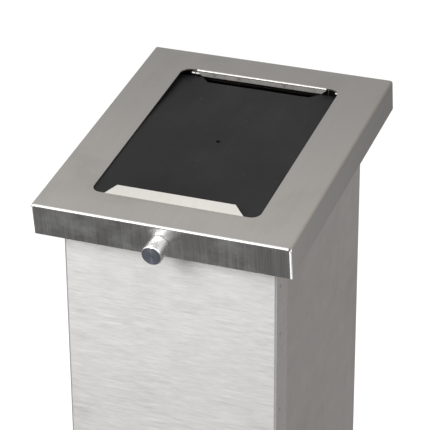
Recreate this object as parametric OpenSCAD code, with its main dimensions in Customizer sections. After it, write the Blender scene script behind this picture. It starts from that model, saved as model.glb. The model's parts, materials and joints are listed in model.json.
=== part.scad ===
// Free-standing stainless dog waste bin: a folded column with a sloping lift-up lid,
// a sprung push flap in the lid's window and a lift-out liner inside.
// Millimetres. +Z is up, -Y is the front. The origin is the middle of the footprint, on the ground.

/* [Body] */
// Width of the column, over the front panel's returns
body_w = 250; // [230:1:320]
// Depth of the column, front face to back face
body_l = 293; // [270:1:380]
// Thickness of the column's sheet
sheet_t = 1.5; // [1:0.1:2]
// Outer radius of the column's vertical bends
bend_r = 3; // [2.5:0.5:5]
// How far the front panel laps round each side
return_l = 34; // [20:1:60]
// Drop from the lid's top face to the rim of the front and side walls
rim_drop = 8; // [7:0.5:12]
// Drop from the lid's top face to the top edge of the back wall
back_drop = 14; // [12:0.5:20]

/* [Base] */
// Thickness of the base plate
base_t = 3; // [2:0.5:5]
// Height of the base plate's upturned flanges
base_flange_h = 30; // [20:1:50]
// Distance between anchor holes, side to side
anchor_x = 160; // [100:1:180]
// Distance between anchor holes, front to back
anchor_y = 200; // [120:1:220]
// Diameter of an anchor hole
anchor_d = 12; // [8:0.5:16]
// Diameter of the drain hole in the middle of the base
drain_d = 20; // [10:1:30]

/* [Lid] */
// Width of the lid, outside
lid_w = 300; // [280:1:380]
// Length of the lid along its slope
lid_l = 355; // [340:1:460]
// Slope of the lid, low at the front
lid_tilt = 8; // [4:0.5:12]
// Height of the lid's front top edge above the ground
lid_front_h = 850; // [600:5:1100]
// How far the lid stands out in front of the column
lid_overhang = 28; // [20:1:40]
// Thickness of the lid's sheet
lid_t = 1.5; // [1:0.1:2]
// Depth of the lid's flanges
flange_h = 38; // [30:1:60]
// Outer radius of the lid's bends
lid_bend_r = 3; // [2:0.5:5]
// Width of the open mitre at the lid's corners
mitre_gap = 0.5; // [0.3:0.1:1]

/* [Window] */
// Width of the window
window_w = 196; // [150:1:204]
// Length of the window along the slope
window_l = 274; // [200:1:276]
// Lid margin in front of the window
window_front = 43.5; // [42:0.5:60]
// Corner radius of the window
window_r = 11; // [5:0.5:20]
// Width of the tongues where they leave the window's edge
tongue_w = 162; // [100:1:166]
// Slant of each tongue's ends, the same across and along
tongue_slant = 12; // [6:0.5:16]
// Length of the front tongue
front_tongue_l = 11.5; // [8:0.5:14]
// Upward bend of the front tongue
front_tongue_up = 35; // [10:1:60]
// Length of the rear tongue past its bend
rear_tongue_l = 6; // [4:0.5:7]
// Downward bend of the rear tongue
rear_tongue_down = 100; // [85:1:105]
// Outer radius of the rear tongue's bend
rear_tongue_r = 2.5; // [2:0.5:3]

/* [Flap] */
// Width of the flap
flap_w = 210; // [204:1:216]
// Thickness of the flap
flap_t = 4; // [3:0.5:5]
// How far the flap reaches under the lid in front of the window
flap_lap = 3.5; // [2:0.5:5]
// Gap between the flap's front half and the lid's underside
flap_gap = 0.5; // [0.3:0.1:1]
// Length of the flap's flat front part
flap_front_l = 125; // [80:1:140]
// Radius of the flap's gentle bow
flap_bow_r = 1100; // [900:10:1200]
// Angle that the bow turns the flap's rear part down
flap_bow = 3; // [2:0.5:5]
// Distance from the window's rear edge to the flap's rear edge
flap_rear_in = 1; // [0.5:0.5:3]
// Width of the notch in the flap's rear edge, at its mouth
notch_w = 148; // [100:1:156]
// Depth of the notch, the same across its slanted ends
notch_l = 11; // [4:0.5:12]
// Diameter of the hole in the flap's middle
flap_hole_d = 5; // [3:0.5:8]
// Swing of the flap from shut to its stops
flap_open = 62; // [30:1:64]

/* [Flap hinge] */
// Diameter of the rod that the flap swings on
rod_d = 5; // [4:0.5:6]
// Outer radius of the leaf's rolled knuckles
flap_knuckle_r = 4; // [3.5:0.1:4.5]
// Thickness of the flap's hinge leaf
flap_leaf_t = 1.2; // [0.8:0.1:1.5]
// Width of the flap's hinge leaf
flap_leaf_w = 160; // [120:1:162]
// Length of each knuckle on the flap's leaf
flap_knuckle_l = 30; // [15:1:40]
// Distance from the flap's rear edge to the rod's axis
rod_in = 4.5; // [4:0.5:6]
// Thickness of the brackets that carry the rod
bracket_t = 1.5; // [1:0.1:2]
// Gap between the flap's edge and each bracket
bracket_gap = 4; // [2:0.5:5]
// Wire diameter of the return springs
spring_wire_d = 1; // [0.6:0.1:1.2]
// Length of each return spring's coil
spring_l = 16; // [8:1:18]

/* [Lid hinge] */
// Length of the lid's hinge
hinge_l = 240; // [180:60:240]
// Length of each knuckle of the lid's hinge
knuckle_l = 30; // [20:10:60]
// Diameter of the lid hinge's knuckles
knuckle_d = 8; // [7:0.5:9]
// Diameter of the lid hinge's pin
hinge_pin_d = 4; // [3:0.5:5]
// Thickness of the lid hinge's leaves
leaf_t = 1.2; // [1:0.1:1.5]
// Length of the leaf on the column's back
body_leaf_l = 40; // [38:1:60]
// Length of the leaf under the lid
lid_leaf_l = 22; // [15:1:24]

/* [Knob] */
// Diameter of the knob
knob_d = 24; // [18:0.5:30]
// Length of the knob
knob_l = 22.5; // [15:0.5:30]
// Depth of the knob's axis below the lid's top face
knob_drop = 23.5; // [18:0.5:26]
// Diameter of the knob's screw
knob_screw_d = 6; // [5:0.5:8]

/* [Liner] */
// Gap between the liner and the column's side walls
liner_side_gap = 11; // [10:0.5:20]
// Gap between the liner and the column's front wall
liner_front_gap = 11.5; // [11:0.5:20]
// Gap between the liner and the column's back wall
liner_back_gap = 6.5; // [6:0.5:20]
// Wall thickness of the liner
liner_t = 1; // [0.8:0.1:1.5]
// Drop from the lid's front edge to the liner's rim
liner_drop = 50; // [48:1:150]
// Height of the runners that hold the liner off the base
runner_h = 20; // [10:1:40]
// Outer radius of the liner's vertical corners
liner_r = 8; // [5:0.5:15]
// Width of the liner's hand holes
hand_hole_w = 100; // [80:1:130]
// Height of the liner's hand holes
hand_hole_h = 30; // [22:1:40]
// Thickness of the ring that holds the bag
ring_t = 1.5; // [1:0.1:2]

/* [Hidden] */
$fn = 48;

// Colours
steel = "#c9c7c3";
galvanised = "#aeb2b4";
black = "#2c2b2d";

// Clearances: a running fit on a pin, a small gap between pieces that only lie together, and
// the gap between a leaf and the other leaf's knuckles. Holes run on past a piece by cut.
pin_fit = 0.05;
seat_gap = 0.3;
huge = 1000;
cut = 10;
leaf_clear = 0.5;

// Column: half width over the side sheets, under the returns of the front panel
side_x = body_w / 2 - sheet_t;
side_in_x = side_x - sheet_t;
front_y = -body_l / 2;
back_y = body_l / 2;
front_in_y = front_y + sheet_t;
back_in_y = back_y - sheet_t;
rim_flange = 6;
rim_leg = 20;
seal_gap = seat_gap;

// Lid frame: its own y runs up the slope from the front top edge, its own z is square to the lid
lid_y = front_y - lid_overhang;
lid_z = lid_front_h;
window_rear = window_front + window_l;

// Lid hinge: the body leaf lies on the column's back, the lid leaf under the lid
knuckle_r = knuckle_d / 2;
knuckle_clear = 0.1;
hinge_y = back_y + knuckle_r;
hinge_n = -lid_t - knuckle_clear - knuckle_r;
hinge_s = (hinge_y - lid_y + hinge_n * sin(lid_tilt)) / cos(lid_tilt);
hinge_z = lid_z + hinge_s * sin(lid_tilt) + hinge_n * cos(lid_tilt);
knuckle_gap = 0.4;
knuckle_count = floor(hinge_l / knuckle_l);
hinge_rivet_d = 4;
hinge_rivet_drop = 33;
hinge_rivet_x = [for (i = [-2:2]) i * hinge_l / 5];

// Flap: flat front part, gentle bow, flat rear part. Places are in the lid's frame.
flap_n = -lid_t - flap_gap;
flap_s0 = window_front - flap_lap;
bow_s = flap_s0 + flap_front_l;
bow_end_s = bow_s + flap_bow_r * sin(flap_bow);
bow_end_n = flap_n - flap_bow_r * (1 - cos(flap_bow));
flap_s1 = window_rear - flap_rear_in;
rear_flat_l = (flap_s1 - bow_end_s) / cos(flap_bow);
flap_n1 = bow_end_n - rear_flat_l * sin(flap_bow);
flap_hole_s = flap_s0 + (flap_s1 - flap_s0) / 2;

// Springs: they fit round the rod, outside the flap's leaf and the lid's rear tongue
rod_r = rod_d / 2;
spring_fit = 0.2;
spring_in = rod_r + spring_fit;
spring_out = spring_in + spring_wire_d;
spring_x0 = max(flap_leaf_w / 2 + 3, tongue_w / 2 + 2);

// Flap hinge, in the frame of the flap's rear part: u runs back, w up, from its rear top edge
rod_u = -rod_in;
rod_w = -flap_t - max(flap_knuckle_r, spring_out + seat_gap);
rod_s = flap_s1 + rod_u * cos(flap_bow) + rod_w * sin(flap_bow);
rod_n = flap_n1 - rod_u * sin(flap_bow) + rod_w * cos(flap_bow);
bracket_x = flap_w / 2 + bracket_gap;
rod_past_bracket = 3;
rod_end_x = bracket_x + bracket_t + rod_past_bracket;
flap_leaf_l = 28;
flap_knuckle_x = [-1, 0, 1] * (flap_leaf_w - flap_knuckle_l) / 2;
flap_screw_x = [-60, -20, 20, 60];
flap_screw_u = -22;
flap_screw_d = 3.5;
flap_screw_l = 3;
clip_t = 0.8;
clip_r = 4.5;
clip_groove_r = 2;

// Knob
knob_washer_t = 1.6;
knob_screw_fit = 0.2;

// Liner
liner_x = side_in_x - liner_side_gap;
liner_y0 = front_in_y + liner_front_gap;
liner_y1 = back_in_y - liner_back_gap;
liner_z0 = base_t + runner_h;
liner_z1 = lid_front_h - liner_drop;
hand_hole_drop = 35;
hand_hole_z = liner_z1 - hand_hole_drop;

// Base
base_gap = 0.3;
base_rivet_d = 4;
base_rivet_z = 18;
lug_h = 40;
lug_w = 30;
lug_foot = 9;

// ---------------------------------------------------------------- frames and small shapes

// Puts children, drawn in the lid's own frame, at their place
module on_lid() {
  translate([0, lid_y, lid_z]) rotate([lid_tilt, 0, 0]) children();
}

// Puts children at the flap's rear top edge, in the frame of the flap's rear part
module on_flap_rear() {
  on_lid() translate([0, flap_s1, flap_n1]) rotate([-flap_bow, 0, 0]) children();
}

// Puts children on the rod's axis, in the frame of the flap's rear part turned down by an angle
module on_rod(angle = 0) {
  on_flap_rear() translate([0, rod_u, rod_w]) rotate([angle, 0, 0]) children();
}

// Everything between two depths below the lid's top face
module lid_band(top, bottom) {
  on_lid() translate([-huge, -huge, bottom]) cube([2 * huge, 3 * huge, top - bottom]);
}

// Cylinder along X, centred on x
module x_cylinder(r, l, x = 0) {
  translate([x - l / 2, 0, 0]) rotate([0, 90, 0]) cylinder(r = r, h = l);
}

// Box from one corner to the other
module span(a, b) {
  translate(a) cube(b - a);
}

// Flat outline with rounded corners
module round_rect(x0, y0, x1, y1, r) {
  for (x = [x0 + r, x1 - r], y = [y0 + r, y1 - r]) translate([x, y]) circle(r);
  translate([x0 + r, y0]) square([x1 - x0 - 2 * r, y1 - y0]);
  translate([x0, y0 + r]) square([x1 - x0, y1 - y0 - 2 * r]);
}

// Domed blind rivet along +Z: the head lies on z = 0, the shank goes down through the grip
module rivet(d, grip) {
  head_r = 0.9 * d;
  head_h = 0.35 * d;
  dome_r = (head_r * head_r + head_h * head_h) / (2 * head_h);
  tail = 2;
  intersection() {
    translate([0, 0, head_h - dome_r]) sphere(dome_r);
    cylinder(r = head_r, h = head_h);
  }
  translate([0, 0, -grip - tail]) cylinder(r = d / 2 - 0.02, h = grip + tail + 0.01);
  translate([0, 0, -grip - tail]) cylinder(r = 0.75 * d, h = tail);
}

// ---------------------------------------------------------------- base

module base_plate() {
  x = side_in_x - base_gap;
  y0 = front_in_y + base_gap;
  y1 = back_in_y - base_gap;
  notch = 4;
  color(galvanised) difference() {
    union() {
      linear_extrude(base_t) round_rect(-x, y0, x, y1, bend_r);
      for (m = [-1, 1]) {
        span([min(m * x, m * (x - base_t)), y0 + notch, 0],
             [max(m * x, m * (x - base_t)), y1 - notch, base_flange_h]);
      }
      span([-x + notch, y0, 0], [x - notch, y0 + base_t, base_flange_h]);
      span([-x + notch, y1 - base_t, 0], [x - notch, y1, base_flange_h]);
    }
    for (i = [-1, 1], j = [-1, 1]) {
      translate([i * anchor_x / 2, j * anchor_y / 2, -1]) cylinder(d = anchor_d, h = base_t + 2);
    }
    translate([0, 0, -1]) cylinder(d = drain_d, h = base_t + 2);
    base_rivet_places() translate([0, 0, -cut]) cylinder(d = base_rivet_d, h = 2 * cut);
  }
}

// Puts children at each base rivet, +Z pointing out of the wall
module base_rivet_places() {
  for (m = [-1, 1], y = [-body_l / 4, body_l / 4]) {
    translate([m * side_x, y, base_rivet_z]) rotate([0, m * 90, 0]) children();
  }
  for (x = [-body_w / 4, body_w / 4]) {
    translate([x, front_y, base_rivet_z]) rotate([90, 0, 0]) children();
    translate([x, back_y, base_rivet_z]) rotate([-90, 0, 0]) children();
  }
}

module base_rivets() {
  color(steel) base_rivet_places() rivet(base_rivet_d, sheet_t + base_gap + base_t);
}

// Two channels across the base, open below, that the liner stands on
module liner_runners() {
  channel_w = 30;
  channel_t = 1.5;
  channel_l = 2 * liner_x - 20;
  color(galvanised) for (m = [-1, 1]) {
    translate([-channel_l / 2, m * body_l / 4 - channel_w / 2, base_t]) difference() {
      cube([channel_l, channel_w, runner_h]);
      translate([-1, channel_t, -1]) {
        cube([channel_l + 2, channel_w - 2 * channel_t, runner_h + 1 - channel_t]);
      }
    }
  }
}

// Four angles on the base that keep the liner's foot in place
module locating_lugs() {
  lug_t = 1.5;
  lug_x = liner_x + 1;
  color(galvanised) for (m = [-1, 1], y = [-body_l / 4, body_l / 4]) {
    translate([m * lug_x, y - lug_w / 2, base_t]) mirror([m < 0 ? 1 : 0, 0, 0]) {
      cube([lug_t, lug_w, lug_h]);
      mirror([1, 0, 0]) cube([lug_foot, lug_w, lug_t]);
    }
  }
}

// ---------------------------------------------------------------- column

// Plan of the side and back sheet between an outer and an inner offset from its outside
module wrap_plan(out, t) {
  r = bend_r - out;
  x = side_x - out;
  y0 = front_y + bend_r;
  y1 = back_y - out;
  difference() {
    union() {
      translate([-x, y0]) square([2 * x, y1 - y0 - r]);
      translate([-x + r, y0]) square([2 * (x - r), y1 - y0]);
      for (m = [-1, 1]) translate([m * (x - r), y1 - r]) circle(r);
    }
    translate([-x + t, y0 - 1]) square([2 * (x - t), y1 - y0 - r + 1]);
    translate([-x + r, y0 - 1]) square([2 * (x - r), y1 - y0 - t + 1]);
    for (m = [-1, 1]) translate([m * (x - r), y1 - r]) circle(r - t);
  }
}

module body_shell() {
  color(steel) difference() {
    linear_extrude(2 * lid_front_h) wrap_plan(0, sheet_t);
    lid_band(3 * huge, -rim_drop);
    // the back wall ends lower, under the hinge
    intersection() {
      lid_band(3 * huge, -back_drop);
      span([-side_x - 1, back_y - bend_r, 0], [side_x + 1, back_y + 1, 3 * huge]);
    }
    base_rivet_places() translate([0, 0, -cut]) cylinder(d = base_rivet_d, h = 2 * cut);
    hinge_rivet_places() translate([0, 0, -cut]) cylinder(d = hinge_rivet_d, h = 2 * cut);
  }
}

module front_panel() {
  x = body_w / 2;
  r = bend_r;
  y1 = front_y + return_l;
  color(steel) difference() {
    linear_extrude(2 * lid_front_h) difference() {
      union() {
        translate([-x, front_y + r]) square([2 * x, return_l - r]);
        translate([-x + r, front_y]) square([2 * (x - r), return_l]);
        for (m = [-1, 1]) translate([m * (x - r), front_y + r]) circle(r);
      }
      translate([-x + sheet_t, front_y + r]) square([2 * (x - sheet_t), return_l]);
      translate([-x + r, front_y + sheet_t]) square([2 * (x - r), return_l]);
      for (m = [-1, 1]) translate([m * (x - r), front_y + r]) circle(r - sheet_t);
    }
    lid_band(3 * huge, -rim_drop);
    base_rivet_places() translate([0, 0, -cut]) cylinder(d = base_rivet_d, h = 2 * cut);
  }
}

// Plan of a strip inside the left, front and right walls
module rim_plan(t) {
  x = side_in_x;
  y1 = back_in_y - bend_r;
  difference() {
    translate([-x, front_in_y]) square([2 * x, y1 - front_in_y]);
    translate([-x + t, front_in_y + t]) square([2 * (x - t), 2 * body_l]);
  }
}

// Angle welded inside the rim: a leg on the wall and a narrow flange under the seal
module rim_frame() {
  color(steel) {
    intersection() {
      linear_extrude(3 * huge) rim_plan(sheet_t);
      lid_band(-rim_drop, -rim_drop - rim_leg);
    }
    intersection() {
      linear_extrude(3 * huge) rim_plan(rim_flange);
      lid_band(-rim_drop, -rim_drop - sheet_t);
    }
  }
}

// Rubber strip on the rim that the lid shuts on
module rim_seal() {
  x = side_x;
  inner = side_in_x - rim_flange;
  y0 = front_y + 0.5;
  y1 = back_in_y - bend_r;
  color(black) intersection() {
    linear_extrude(3 * huge) difference() {
      translate([-x, y0]) square([2 * x, y1 - y0]);
      translate([-inner, front_in_y + rim_flange]) square([2 * inner, 2 * body_l]);
    }
    lid_band(-lid_t - seal_gap, -rim_drop);
  }
}

// ---------------------------------------------------------------- liner

// The liner's outline, drawn in by a distance
module liner_outline(inset) {
  round_rect(-liner_x + inset, liner_y0 + inset, liner_x - inset, liner_y1 - inset,
             liner_r - inset);
}

module liner() {
  color(galvanised) difference() {
    translate([0, 0, liner_z0]) linear_extrude(liner_z1 - liner_z0) liner_outline(0);
    translate([0, 0, liner_z0 - 1]) linear_extrude(liner_z1) liner_outline(liner_t);
    // a slot with round ends through both side walls
    for (m = [-1, 1]) {
      translate([0, m * (hand_hole_w - hand_hole_h) / 2, hand_hole_z]) {
        x_cylinder(hand_hole_h / 2, 2 * liner_x + 10);
      }
    }
    span([-liner_x - 5, -(hand_hole_w - hand_hole_h) / 2, hand_hole_z - hand_hole_h / 2],
         [liner_x + 5, (hand_hole_w - hand_hole_h) / 2, hand_hole_z + hand_hole_h / 2]);
  }
}

// Floor plate let in between the liner's walls, flush with their lower edge
module liner_floor() {
  color(galvanised) translate([0, 0, liner_z0]) linear_extrude(liner_t) {
    liner_outline(liner_t + seat_gap);
  }
}

// Angle ring that sits over the liner's rim and holds the bag's mouth
module bag_ring() {
  skirt = 12;
  out = seat_gap + ring_t;
  color(steel) difference() {
    translate([0, 0, liner_z1 - skirt]) linear_extrude(skirt + ring_t) liner_outline(-out);
    translate([0, 0, liner_z1 - skirt - 1]) linear_extrude(skirt + 1) liner_outline(-seat_gap);
    translate([0, 0, liner_z1 - 1]) linear_extrude(ring_t + 2) liner_outline(liner_t);
  }
}

// ---------------------------------------------------------------- lid hinge

// Places along the hinge of every second knuckle, from the first or the second
function knuckle_places(first) =
  [for (i = [first:2:knuckle_count - 1]) -hinge_l / 2 + (i + 0.5) * knuckle_l];

// Puts children at each rivet of the body leaf, +Z pointing back
module hinge_rivet_places() {
  for (x = hinge_rivet_x) {
    translate([x, back_y, hinge_z - hinge_rivet_drop]) rotate([-90, 0, 0]) children();
  }
}

// Knuckles on the hinge's axis, joined to their leaf by children cut to each knuckle's width
module knuckles(first) {
  l = knuckle_l - knuckle_gap;
  difference() {
    union() {
      for (x = knuckle_places(first)) translate([x, hinge_y, hinge_z]) x_cylinder(knuckle_r, l);
      intersection() {
        union() {
          for (x = knuckle_places(first)) {
            translate([x - l / 2, -huge, 0]) cube([l, 2 * huge, 2 * huge]);
          }
        }
        children();
      }
    }
    translate([0, hinge_y, hinge_z]) x_cylinder(hinge_pin_d / 2 + pin_fit, hinge_l + 20);
  }
}

module hinge_body_leaf() {
  top = hinge_z - knuckle_r - leaf_clear;
  color(steel) {
    difference() {
      span([-hinge_l / 2, back_y, hinge_z - body_leaf_l], [hinge_l / 2, back_y + leaf_t, top]);
      hinge_rivet_places() translate([0, 0, -cut]) cylinder(d = hinge_rivet_d, h = 2 * cut);
    }
    knuckles(0) {
      span([-hinge_l / 2, back_y, top - 1], [hinge_l / 2, back_y + leaf_t, hinge_z]);
    }
  }
}

module hinge_lid_leaf() {
  s0 = hinge_s + knuckle_r + leaf_clear;
  color(steel) {
    on_lid() span([-hinge_l / 2, s0, -lid_t - leaf_t], [hinge_l / 2, hinge_s + lid_leaf_l, -lid_t]);
    knuckles(1) {
      on_lid() span([-hinge_l / 2, hinge_s, -lid_t - leaf_t], [hinge_l / 2, s0 + 1, -lid_t]);
    }
  }
}

module hinge_pin() {
  color(steel) translate([0, hinge_y, hinge_z]) x_cylinder(hinge_pin_d / 2, hinge_l + 1);
}

module hinge_rivets() {
  color(steel) hinge_rivet_places() translate([0, 0, leaf_t]) rivet(hinge_rivet_d, leaf_t + sheet_t);
}

// ---------------------------------------------------------------- lid

// Front tongue lying flat: its root on y = 0, pointing along +Y
module tongue_outline(l) {
  tip = tongue_w / 2 - tongue_slant;
  polygon([[-tongue_w / 2, -0.01], [tongue_w / 2, -0.01], [tip, l], [-tip, l]]);
}

module lid_shell() {
  r = lid_bend_r;
  x = lid_w / 2;
  g = mitre_gap / 2;
  color(steel) on_lid() {
    difference() {
      union() {
        // top sheet, then the three bends
        span([-x + r, r, -lid_t], [x - r, lid_l, 0]);
        intersection() {
          difference() {
            translate([0, r, -r]) x_cylinder(r, 2 * (x - r));
            translate([0, r, -r]) x_cylinder(r - lid_t, 2 * x);
          }
          span([-x, 0, -r], [x, r, 0]);
        }
        for (m = [-1, 1]) intersection() {
          translate([m * (x - r), r, -r]) rotate([-90, 0, 0]) difference() {
            cylinder(r = r, h = lid_l - r);
            translate([0, 0, -1]) cylinder(r = r - lid_t, h = lid_l);
          }
          span([m < 0 ? -x : x - r, r, -r], [m < 0 ? -x + r : x, lid_l, 0]);
        }
        // flanges, mitred at the front corners
        translate([0, 0, -flange_h]) linear_extrude(flange_h - r) polygon([
          [-x + g, 0], [x - g, 0], [x - g - lid_t, lid_t], [-x + g + lid_t, lid_t]
        ]);
        for (m = [-1, 1]) translate([0, 0, -flange_h]) linear_extrude(flange_h - r) polygon([
          [m * x, g], [m * x, lid_l], [m * (x - lid_t), lid_l], [m * (x - lid_t), g + lid_t]
        ]);
      }
      translate([0, 0, -lid_t - 1]) linear_extrude(lid_t + 2) {
        round_rect(-window_w / 2, window_front, window_w / 2, window_rear, window_r);
      }
      span(
        [-tongue_w / 2, window_rear - 1, -lid_t - 1],
        [tongue_w / 2, window_rear + rear_tongue_r, 1]
      );
      translate([0, -1, -knob_drop]) rotate([-90, 0, 0]) {
        cylinder(r = knob_screw_d / 2 + knob_screw_fit, h = lid_t + 2);
      }
    }
    // front tongue, bent up, and rear tongue, bent down
    translate([0, window_front, 0]) rotate([front_tongue_up, 0, 0]) {
      translate([0, 0, -lid_t]) linear_extrude(lid_t) tongue_outline(front_tongue_l);
    }
    translate([0, window_front, 0]) tongue_bend(front_tongue_up);
    translate([0, window_rear + rear_tongue_r, -rear_tongue_r]) {
      rear_tongue();
    }
  }
}

// Filled bend at the root of a tongue that turns up about the sheet's top edge
module tongue_bend(angle) {
  rotate([0, -90, 0]) translate([0, 0, -tongue_w / 2]) rotate([0, 0, 180]) {
    rotate_extrude(angle = angle) square([lid_t, tongue_w]);
  }
}

// Rear tongue about its bend's centre: a side outline drawn across the lid, its ends cut aslant
module rear_tongue() {
  steps = 12;
  inner = rear_tongue_r - lid_t;
  angles = [for (i = [0:steps]) 90 + rear_tongue_down * i / steps];
  end = angles[steps];
  tip = [cos(end + 90), sin(end + 90)] * rear_tongue_l;
  slope = tongue_slant / front_tongue_l;
  past = rear_tongue_l + 1;
  x = tongue_w / 2;
  difference() {
    rotate([90, 0, 90]) translate([0, 0, -x]) linear_extrude(tongue_w) polygon(concat(
      [for (a = angles) [cos(a), sin(a)] * rear_tongue_r],
      [[cos(end), sin(end)] * rear_tongue_r + tip, [cos(end), sin(end)] * inner + tip],
      [for (i = [steps:-1:0]) [cos(angles[i]), sin(angles[i])] * inner]
    ));
    for (m = [-1, 1]) rotate([rear_tongue_down, 0, 0]) mirror([0, 1, 0]) {
      translate([0, 0, inner - 1]) linear_extrude(lid_t + 2) polygon([
        [m * (x + slope), -1], [m * (x + cut), -1],
        [m * (x + cut), past], [m * (x - slope * past), past]
      ]);
    }
  }
}

// ---------------------------------------------------------------- knob

// Puts children on the knob's axis, +Z pointing forward from the flange
module on_knob() {
  on_lid() translate([0, 0, -knob_drop]) rotate([90, 0, 0]) children();
}

module knob() {
  chamfer = 1.2;
  groove_w = 1;
  groove_d = 0.5;
  groove_z = knob_l - 4;
  bore_l = 12;
  r = knob_d / 2;
  color(steel) on_knob() difference() {
    rotate_extrude() polygon([
      [0, 0], [r - chamfer, 0], [r, chamfer],
      [r, groove_z], [r - groove_d, groove_z],
      [r - groove_d, groove_z + groove_w], [r, groove_z + groove_w],
      [r, knob_l - chamfer], [r - chamfer, knob_l], [0, knob_l]
    ]);
    translate([0, 0, -1]) cylinder(r = knob_screw_d / 2 + pin_fit, h = bore_l + 1);
  }
}

module knob_washer() {
  color(steel) on_knob() translate([0, 0, -lid_t - knob_washer_t]) difference() {
    cylinder(r = knob_screw_d, h = knob_washer_t);
    translate([0, 0, -1]) cylinder(r = knob_screw_d / 2 + knob_screw_fit, h = knob_washer_t + 2);
  }
}

module knob_screw() {
  head_h = 3.3;
  shank_l = lid_t + knob_washer_t + 10;
  color(steel) on_knob() translate([0, 0, -lid_t - knob_washer_t]) {
    cylinder(d = knob_screw_d, h = shank_l);
    translate([0, 0, -head_h]) difference() {
      cylinder(r = 0.9 * knob_screw_d, h = head_h);
      translate([0, 0, -1]) cylinder(r = knob_screw_d / 3, h = 3, $fn = 6);
    }
  }
}

// ---------------------------------------------------------------- flap

// Side outline of the flap, drawn with the slope along X: flat, bowed, flat
function bow_point(r, a) = [bow_s + r * sin(a), flap_n - flap_bow_r + r * cos(a)];

module flap_outline() {
  steps = 10;
  angles = [for (i = [0:steps]) flap_bow * i / steps];
  under = flap_bow_r - flap_t;
  along = [cos(flap_bow), -sin(flap_bow)] * rear_flat_l;
  polygon(concat(
    [[flap_s0, flap_n]],
    [for (a = angles) bow_point(flap_bow_r, a)],
    [bow_point(flap_bow_r, flap_bow) + along, bow_point(under, flap_bow) + along],
    [for (i = [steps:-1:0]) bow_point(under, angles[i])],
    [[flap_s0, flap_n - flap_t]]
  ));
}

// Extrudes a side outline, drawn with the slope along X, between two places across the lid
module across(x0, x1) {
  on_lid() translate([x0, 0, 0]) rotate([90, 0, 90]) linear_extrude(x1 - x0) children();
}

module flap_plate() {
  color(black) difference() {
    across(-flap_w / 2, flap_w / 2) flap_outline();
    on_lid() translate([0, flap_hole_s, flap_n1 - 2 * flap_t]) {
      cylinder(d = flap_hole_d, h = -flap_n1 + 2 * flap_t);
    }
    on_flap_rear() {
      for (sx = flap_screw_x) {
        translate([sx, flap_screw_u, -flap_t - 1]) cylinder(d = flap_screw_d, h = flap_screw_l + 1);
      }
      translate([0, 0, -flap_t - 1]) linear_extrude(flap_t + 2) polygon([
        [-notch_w / 2 - 1, 1], [notch_w / 2 + 1, 1],
        [notch_w / 2 - notch_l, -notch_l], [-notch_w / 2 + notch_l, -notch_l]
      ]);
    }
  }
}

module flap_leaf() {
  l = flap_knuckle_l;
  w0 = -flap_t - flap_leaf_t;
  leaf_u = rod_u - flap_knuckle_r - leaf_clear;
  color(steel) {
    on_flap_rear() difference() {
      span([-flap_leaf_w / 2, rod_u - flap_leaf_l, w0], [flap_leaf_w / 2, leaf_u, -flap_t]);
      for (sx = flap_screw_x) {
        translate([sx, flap_screw_u, w0 - cut]) cylinder(d = flap_screw_d + 0.3, h = 2 * cut);
      }
    }
    difference() {
      union() {
        on_rod() for (kx = flap_knuckle_x) x_cylinder(flap_knuckle_r, l, kx);
        on_flap_rear() for (kx = flap_knuckle_x) {
          span([kx - l / 2, leaf_u - leaf_clear, w0], [kx + l / 2, rod_u, -flap_t]);
        }
      }
      on_rod() x_cylinder(rod_r + pin_fit, 2 * rod_end_x);
    }
  }
}

module flap_screws() {
  head_r = 3.2;
  head_h = 1.6;
  color(steel) on_flap_rear() for (sx = flap_screw_x) {
    translate([sx, flap_screw_u, -flap_t - flap_leaf_t - head_h]) {
      cylinder(r = head_r, h = head_h);
      cylinder(r = flap_screw_d / 2 - 0.05, h = head_h + flap_leaf_t + flap_screw_l - 0.3);
    }
  }
}

// Puts a side outline's children at the rod, turned with the open flap
module at_open_rod() {
  translate([rod_s, rod_n]) rotate(flap_open - flap_bow) children();
}

// Bracket on the right: a foot under the lid, an ear for the rod and a tab that stops the flap
module flap_bracket(side) {
  ear_r = 6.5;
  foot_in = 10;
  reach = 20;
  arm_w = 3;
  tab_u = 14;
  tab_in = 6.5;
  x0 = bracket_x;
  x1 = bracket_x + bracket_t;
  stop_w = flap_knuckle_r - seat_gap;
  color(steel) mirror([side < 0 ? 1 : 0, 0, 0]) {
    across(x0, x1) difference() {
      union() {
        translate([rod_s - ear_r, rod_n]) square([2 * ear_r, -lid_t - rod_n]);
        translate([rod_s, rod_n]) circle(ear_r);
        at_open_rod() translate([-reach, -arm_w]) square([reach, arm_w + stop_w]);
      }
      translate([rod_s, rod_n]) circle(rod_r + pin_fit);
    }
    across(x0 - foot_in, x0) {
      translate([rod_s - ear_r, -lid_t - bracket_t]) square([2 * ear_r, bracket_t]);
    }
    across(x0 - tab_in, x0) {
      at_open_rod() translate([-reach, stop_w - bracket_t]) square([reach - tab_u, bracket_t]);
    }
  }
}

module flap_bracket_left() {
  flap_bracket(-1);
}

module flap_bracket_right() {
  flap_bracket(1);
}

module flap_rod() {
  groove = clip_t + 0.1;
  color(steel) on_rod() difference() {
    x_cylinder(rod_r, 2 * rod_end_x);
    for (m = [-1, 1]) difference() {
      x_cylinder(rod_r + 1, groove, m * (bracket_x + bracket_t + seat_gap + groove / 2));
      x_cylinder(clip_groove_r, 4 * rod_end_x);
    }
  }
}

// Snap clips in the rod's grooves, outside the brackets
module rod_clips() {
  color(steel) on_rod() for (m = [-1, 1]) {
    translate([m * (bracket_x + bracket_t + seat_gap + clip_t / 2 + 0.05), 0, 0]) difference() {
      x_cylinder(clip_r, clip_t);
      x_cylinder(clip_groove_r + pin_fit, clip_t + 1);
      span([-clip_t, -clip_groove_r + 0.4, -clip_r - 1], [clip_t, clip_groove_r - 0.4, 0]);
    }
  }
}

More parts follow.
